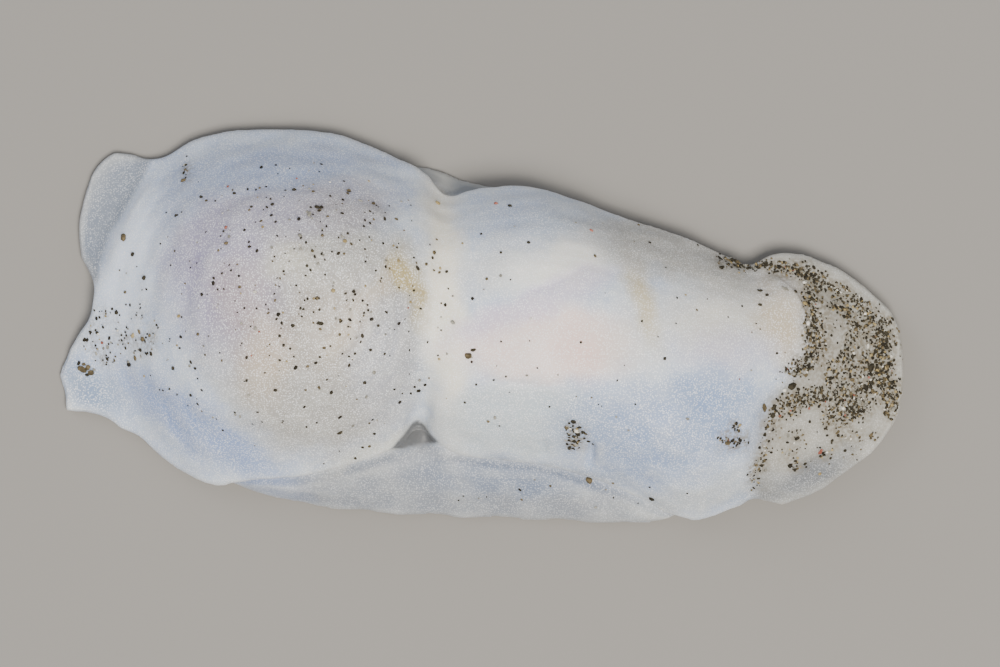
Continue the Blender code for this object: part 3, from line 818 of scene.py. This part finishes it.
# %% Silt, granules and the wet surface
GRANULE = 0.085
SILT_GRAIN = 0.16
PATCH = 0.5
WRINKLE = 0.45
WRINKLE_DEPTH = 0.05
GRANULE_HEIGHT = 0.012
LIGHT_REACH = 0.5


def triangles(mesh):
    """How many triangles a mesh has."""
    return sum(len(face.vertices) - 2 for face in mesh.polygons)


def with_silt(tree, place, colour):
    """A colour dulled by fine silt where the sand lies thick."""
    cloud = spread(tree, noise(tree, place, SILT_GRAIN, 3.0).outputs["Fac"], 0.35, 0.6)
    return mix_colour(tree, times(tree, attribute(tree, "silt"), cloud), colour, linear("7d7052"))


def with_granules(tree, place, colour, dots):
    """A colour with white granules in patches over it, fewer where sand lies on the skin and none in the
    painted shade of the pocket and the left flap.
    """
    patchy = spread(tree, noise(tree, place, PATCH, 2.0).outputs["Fac"], 0.3, 0.7, 0.45, 0.75)
    clean = add_node(tree, "ShaderNodeMath", {"operation": "SUBTRACT", "use_clamp": True},
                     {0: 1.0, 1: attribute(tree, "covered_and_shaded")})
    amount = times(tree, times(tree, dots, patchy), clean.outputs[0])
    return mix_colour(tree, amount, mix_colour(tree, 0.22, colour, linear("7c8494")), linear("f8f9fa"))


def slug_skin_material():
    """Moist white slug skin: milky, granular, bluish where it is thin."""
    material, tree, shader = new_material("moist_mollusc_skin")
    place = object_place(tree)
    granules = add_node(tree, "ShaderNodeTexVoronoi", {"feature": "F1"},
                        {"Vector": place, "Scale": 1.0 / (GRANULE * MM), "Randomness": 0.85})
    dots = spread(tree, granules.outputs["Distance"], 0.52, 0.16)
    colour = with_silt(tree, place, flesh_colour(tree, place))
    tree.links.new(with_granules(tree, place, colour, dots), shader.inputs["Base Color"])

    wrinkle = noise(tree, place, WRINKLE, 5.0, 0.6).outputs["Fac"]
    coarse = add_node(tree, "ShaderNodeBump", {},
                      {"Height": wrinkle, "Strength": 0.35, "Distance": WRINKLE_DEPTH * MM})
    fine = add_node(tree, "ShaderNodeBump", {},
                    {"Height": dots, "Strength": 0.3, "Distance": GRANULE_HEIGHT * MM,
                     "Normal": coarse.outputs[0]})
    tree.links.new(fine.outputs[0], shader.inputs["Normal"])
    shader.inputs["Roughness"].default_value = 0.46
    shader.inputs["IOR"].default_value = 1.38
    shader.inputs["Subsurface Weight"].default_value = 0.35
    shader.inputs["Subsurface Radius"].default_value = (1.0, 0.85, 0.75)
    shader.inputs["Subsurface Scale"].default_value = LIGHT_REACH * MM
    return material


skin.data.materials.append(slug_skin_material())
pick(skin)
bpy.ops.object.shade_smooth()
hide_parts(*FLESH)
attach(skin, "root")
print("skin has", triangles(skin.data), "triangles")

# %% [markdown]
# ## Sand in the mucus
# Dark grains of volcanic sand cling to the skin: sparse on the shields, packed on the
# front lobe that ploughs through the sand. They could be painted, but real grains stand
# proud and cast tiny shadows. So three angular grains are modelled, and copies in many
# sizes are set into the skin where a straight drop from above meets it. Most are strewn at
# random in measured clusters, and the largest have measured places of their own. Where
# they lie thick, fine silt dulls the skin between them.

# %% Model the grains
def model_grain(name, cuts):
    """An angular grain, about 1 across: a ball with flats cut across it."""
    bpy.ops.mesh.primitive_ico_sphere_add(subdivisions=1, radius=0.5, location=(0.0, 0.0, 0.0))
    grain = bpy.context.object
    grain.name = name
    bpy.ops.object.mode_set(mode="EDIT")
    for way, depth_share in cuts:
        bpy.ops.mesh.select_all(action="SELECT")
        bpy.ops.mesh.bisect(plane_co=tuple(depth_share * c for c in way), plane_no=way, use_fill=True,
                            clear_outer=True)
    bpy.ops.mesh.select_all(action="SELECT")
    bpy.ops.mesh.quads_convert_to_tris()
    bpy.ops.object.mode_set(mode="OBJECT")
    corners = np.array([v.co[:] for v in grain.data.vertices])
    faces = [tuple(p.vertices) for p in grain.data.polygons]
    bpy.data.objects.remove(grain, do_unlink=True)
    return corners, faces


GRAIN_SHAPES = [
    model_grain("grain_wedge", [((0.9, 0.3, 0.3), 0.3), ((-0.4, 0.8, 0.4), 0.36)]),
    model_grain("grain_block", [((0.0, 0.95, 0.3), 0.28), ((-0.9, -0.2, 0.4), 0.33),
                                ((0.3, -0.8, 0.5), 0.36)]),
    model_grain("grain_round", [((0.2, 0.2, 0.95), 0.42)]),
]
print("grain faces:", [len(faces) for _, faces in GRAIN_SHAPES])

# %% Strew places in clusters
draw = np.random.default_rng(2024)


def in_oval(middle, radii, count):
    """Places spread evenly in an oval."""
    angle = draw.uniform(0.0, 2.0 * np.pi, count)
    reach = np.sqrt(draw.uniform(0.0, 1.0, count))
    return np.column_stack([middle[0] + radii[0] * reach * np.cos(angle),
                            middle[1] + radii[1] * reach * np.sin(angle)])


def in_band(line, width, count):
    """Places along a line, crowding towards its middle."""
    line = np.asarray(line, float)
    lengths = np.concatenate([[0.0], np.cumsum(np.linalg.norm(np.diff(line, axis=0), axis=1))])
    where = draw.uniform(0.0, lengths[-1], count)
    x = np.interp(where, lengths, line[:, 0])
    y = np.interp(where, lengths, line[:, 1])
    return np.column_stack([x, y]) + draw.normal(0.0, width / 2.0, (count, 2))


GROOVE = [(11.3, 3.3), (12.3, 2.85), (13.4, 2.9), (14.5, 2.75), (15.6, 2.3), (16.6, 1.8), (17.6, 1.3),
          (18.4, 0.5)]
SHIELD_FRONT = [(15.5, 1.7), (15.6, 0.2), (15.7, -0.7), (15.6, -1.4), (15.1, -1.9), (14.3, -2.3)]
RING = [(16.5, 1.0), (17.3, 0.7), (17.6, -0.1), (17.45, -0.9), (17.1, -1.3)]
NOSE_RIGHT = [(18.5, 0.3), (19.1, -0.7), (18.85, -1.75), (18.8, -2.7), (19.3, -3.1)]
NOSE_LOWER = [(13.7, -4.2), (14.7, -3.5), (15.8, -3.3), (16.7, -3.2), (17.6, -3.4), (17.9, -3.8),
              (17.2, -4.2), (16.3, -4.4)]
LOWER_TRAIL = [(13.6, -4.5), (13.35, -5.9), (12.9, -6.8), (12.8, -7.5)]
PLACES = np.vstack([
    in_oval((-9.0, 1.2), (8.2, 6.6), 290),
    in_oval((-7.6, 2.2), (4.8, 4.4), 150),
    in_oval((-17.0, -0.4), (2.1, 1.5), 110),
    in_oval((-9.0, -5.0), (5.0, 1.6), 12),
    in_band([(-13.9, 8.3), (-13.9, 6.8)], 0.12, 13),
    in_oval((5.0, 0.0), (8.5, 5.5), 75),
    in_oval((4.2, -7.9), (6.0, 0.8), 16),
    in_oval((4.35, -5.1), (0.28, 0.5), 30),
    in_oval((4.4, -5.1), (0.5, 0.75), 34),
    in_band([(11.1, -5.2), (11.6, -5.4), (12.5, -5.35)], 0.16, 40),
    in_oval((11.95, -4.7), (0.28, 0.2), 14),
    in_band(GROOVE, 0.4, 580),
    in_band(SHIELD_FRONT, 0.52, 470),
    in_band(RING, 0.3, 150),
    in_band(NOSE_RIGHT, 0.8, 680),
    in_band(NOSE_LOWER, 0.6, 640),
    in_band(LOWER_TRAIL, 0.4, 80),
    in_oval((17.3, -2.2), (1.2, 1.0), 220),
    in_oval((17.0, -0.6), (1.7, 2.0), 40),
    in_oval((19.35, -3.6), (0.4, 0.9), 120),
    in_oval((16.3, -5.6), (2.6, 0.9), 40),
    in_oval((14.7, -5.7), (0.6, 0.9), 24),
    in_oval((14.9, -6.5), (0.5, 0.25), 20),
    in_oval((16.2, -5.9), (0.4, 0.3), 12),
    in_oval((17.2, -5.1), (0.5, 0.25), 12),
    in_oval((18.6, -5.2), (0.25, 0.25), 9),
])
print(len(PLACES), "places for small grains")

# %% Fine silt where the sand lies thick
SILT_CELL = 0.5
FIRST_SILT = 5.0
FULL_COVER = 26.0
SILT_STRENGTH = 0.9

steps = [np.arange(low[axis], high[axis] + SILT_CELL, SILT_CELL) for axis in (0, 1)]
crowd = np.histogram2d(PLACES[:, 0], PLACES[:, 1], bins=steps)[0] / SILT_CELL ** 2
column, row = [np.clip(((points[:, axis] - low[axis]) / SILT_CELL).astype(int), 0, crowd.shape[axis] - 1)
               for axis in (0, 1)]
silt = (crowd[column, row] - FIRST_SILT) / (FULL_COVER - FIRST_SILT)
silt = SILT_STRENGTH * blurred(np.clip(silt, 0.0, 1.0) * upward, 8)
# fewer granules on the front lobe, the right flap and the left tail lobe; none on the left flap and in the
# pocket, which is painted shade
dull = 0.5 * (share["head_front"] + share["parapodium_right"] + share["tail_lobe_left"])
dull += share["parapodium_left"] + 2.0 * pocket_plan
store("silt", silt)
store("covered_and_shaded", np.clip(silt + blurred(dull, 2), 0.0, 1.0))
print("silt on", int((silt > 0.3).sum()), "points")

# %% [markdown]
# ## Kinds of grain
# Black volcanic sand is matt and nearly black. It is mixed with brown, grey and amber
# grains, a few red ones and bits of pale, slightly shiny shell. Each kind is one object, so
# that it keeps one clean colour.

# %% Kinds and their material
# each kind: piece, material, dark tone, light tone, roughness and share of all grains
GRAIN_KINDS = [
    ("grains_black", "basalt_sand", "26231b", "3c372a", 0.8, 0.592),
    ("grains_brown", "weathered_brown_sand", "4a4230", "6e6148", 0.85, 0.2),
    ("grains_grey", "grey_feldspar_sand", "77746a", "9a978b", 0.8, 0.13),
    ("grains_amber", "iron_stained_quartz", "8a7850", "a3926a", 0.7, 0.055),
    ("grains_red", "red_jasper_sand", "7c4434", "a2685a", 0.7, 0.008),
    ("grains_shell", "white_shell_grit", "c4bfb0", "dedacf", 0.6, 0.015),
]
TONE_LENGTH = 0.2


def grain_material(name, dark, light, roughness):
    """Small mineral grains: two near tones, mixed on the scale of a grain."""
    material, tree, shader = new_material(name)
    tone = noise(tree, object_place(tree), TONE_LENGTH, 2.0).outputs["Fac"]
    colour = mix_colour(tree, spread(tree, tone, 0.35, 0.65), linear(dark), linear(light))
    tree.links.new(colour, shader.inputs["Base Color"])
    shader.inputs["Roughness"].default_value = roughness
    shader.inputs["Specular IOR Level"].default_value = 0.15
    return material


print(len(GRAIN_KINDS), "kinds of grain")

# %% Places of the largest grains
# each grain: x, y, length, width, turn in degrees and number of its kind
SINGLE_GRAINS = [
    (14.55, -2.8, 0.52, 0.42, 20, 0), (14.2, -3.0, 0.24, 0.2, 0, 5), (18.4, -1.95, 0.55, 0.32, 70, 0),
    (18.15, -2.9, 0.45, 0.3, -50, 0), (15.34, 0.14, 0.3, 0.22, 50, 5), (18.26, -0.95, 0.28, 0.16, 80, 5),
    (15.6, -0.45, 0.42, 0.24, -60, 2), (13.24, -3.8, 0.5, 0.26, -70, 1), (15.97, -5.9, 0.36, 0.22, 60, 4),
    (16.0, -6.95, 0.22, 0.18, 0, 3), (16.9, 1.65, 0.85, 0.07, -35, 5), (13.13, 1.65, 0.26, 0.17, 10, 0),
    (13.43, 1.44, 0.2, 0.18, 0, 0), (14.31, 1.74, 0.46, 0.2, -35, 2), (14.79, 1.61, 0.2, 0.2, 0, 0),
    (13.83, -1.27, 0.16, 0.13, 0, 0), (-18.8, -2.05, 0.5, 0.35, -30, 1), (-18.4, -2.2, 0.36, 0.3, 10, 1),
    (-18.55, -1.95, 0.34, 0.28, 40, 1), (-18.95, -2.0, 0.3, 0.24, -60, 1), (-18.6, -2.3, 0.26, 0.2, 10, 0),
    (-18.25, -2.05, 0.2, 0.16, 0, 2), (-18.75, -1.8, 0.24, 0.18, 0, 1), (-2.85, -3.0, 0.26, 0.2, 40, 0),
    (-19.0, -1.75, 0.28, 0.2, 60, 0), (-16.74, 4.16, 0.48, 0.34, -60, 1), (-0.53, -1.37, 0.4, 0.36, 0, 1),
    (5.13, -7.27, 0.44, 0.34, -50, 1), (5.18, 4.44, 0.24, 0.16, -30, 4), (0.74, 5.72, 0.24, 0.2, -40, 4),
    (1.4, 5.6, 0.28, 0.2, -40, 0), (2.25, 3.85, 0.2, 0.16, 0, 0), (-2.0, 5.75, 0.3, 0.24, 0, 3),
    (-8.6, 6.3, 0.26, 0.22, 30, 0), (-5.3, -2.6, 0.22, 0.2, 0, 0), (-9.4, -2.95, 0.22, 0.18, 0, 0),
]
print(len(SINGLE_GRAINS), "grains set one by one")

# %% Set the grains
SUNK = 0.35
DROP_HEIGHT = 20.0
MIDDLE_SIZE = 0.098
SIZE_SPREAD = 0.32
SIZE_LIMITS = (0.06, 0.22)
BODY_START = 12.0
BODY_SIZE = 1.15
STRETCH = (0.9, 1.6)
FLATNESS = (0.5, 0.9)
WOBBLE = 0.25
SINGLE_FLATNESS = 0.7
SINGLE_WOBBLE = 0.05


def set_on_skin(x, y):
    """The place on the skin under (x, y), and the skin's direction there, or None off the body."""
    hit = skin_tree.ray_cast(Vector((x * MM, y * MM, DROP_HEIGHT * MM)), Vector((0.0, 0.0, -1.0)))
    if hit[0] is None:
        return None
    return np.array(hit[0][:]) / MM, np.array(hit[1][:])


def turned(axis_up, heading, wobble):
    """Three directions at right angles: one near a heading on the plan, the last near axis_up."""
    tilt = axis_up + draw.normal(0.0, wobble, 3)
    tilt /= np.linalg.norm(tilt)
    across = np.cross(tilt, (np.cos(heading), np.sin(heading), 0.0))
    across /= np.linalg.norm(across)
    return np.column_stack([np.cross(across, tilt), across, tilt])


def grains_object(name, settings, material):
    """One object of many grains; a setting is (x, y, length, width, height, heading, wobble, shape)."""
    corners, faces, count = [], [], 0
    for x, y, length, width, height, heading, wobble, shape in settings:
        found = set_on_skin(x, y)
        if found is None:
            continue
        place, direction = found
        form, grain_faces = GRAIN_SHAPES[shape]
        sized = form * np.array([length, width, height])
        placed = sized @ turned(direction, heading, wobble).T + place + direction * height * (0.5 - SUNK)
        corners.append(placed)
        faces += [tuple(count + v for v in face) for face in grain_faces]
        count += len(placed)
    mesh = bpy.data.meshes.new(name)
    mesh.from_pydata((np.vstack(corners) * MM).tolist(), [], faces)
    mesh.materials.append(material)
    piece = bpy.data.objects.new(name, mesh)
    bpy.context.scene.collection.objects.link(piece)
    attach(piece, "root")
    return piece


kind_of = draw.choice(len(GRAIN_KINDS), len(PLACES), p=[kind[5] for kind in GRAIN_KINDS])
sizes = np.clip(draw.lognormal(np.log(MIDDLE_SIZE), SIZE_SPREAD, len(PLACES)), *SIZE_LIMITS)
sizes *= np.where(PLACES[:, 0] < BODY_START, BODY_SIZE, 1.0)
for number, (name, stuff, dark, light, roughness, _) in enumerate(GRAIN_KINDS):
    settings = []
    for (x, y), size in zip(PLACES[kind_of == number], sizes[kind_of == number]):
        settings.append((x, y, size * draw.uniform(*STRETCH), size, size * draw.uniform(*FLATNESS),
                         draw.uniform(0.0, 2.0 * np.pi), WOBBLE, int(draw.integers(3))))
    for x, y, length, width, turn, kind in SINGLE_GRAINS:
        if kind == number:
            settings.append((x, y, length, width, SINGLE_FLATNESS * width, np.radians(turn),
                             SINGLE_WOBBLE, int(draw.integers(3))))
    piece = grains_object(name, settings, grain_material(stuff, dark, light, roughness))
    print(name, len(settings), "grains,", triangles(piece.data), "triangles")
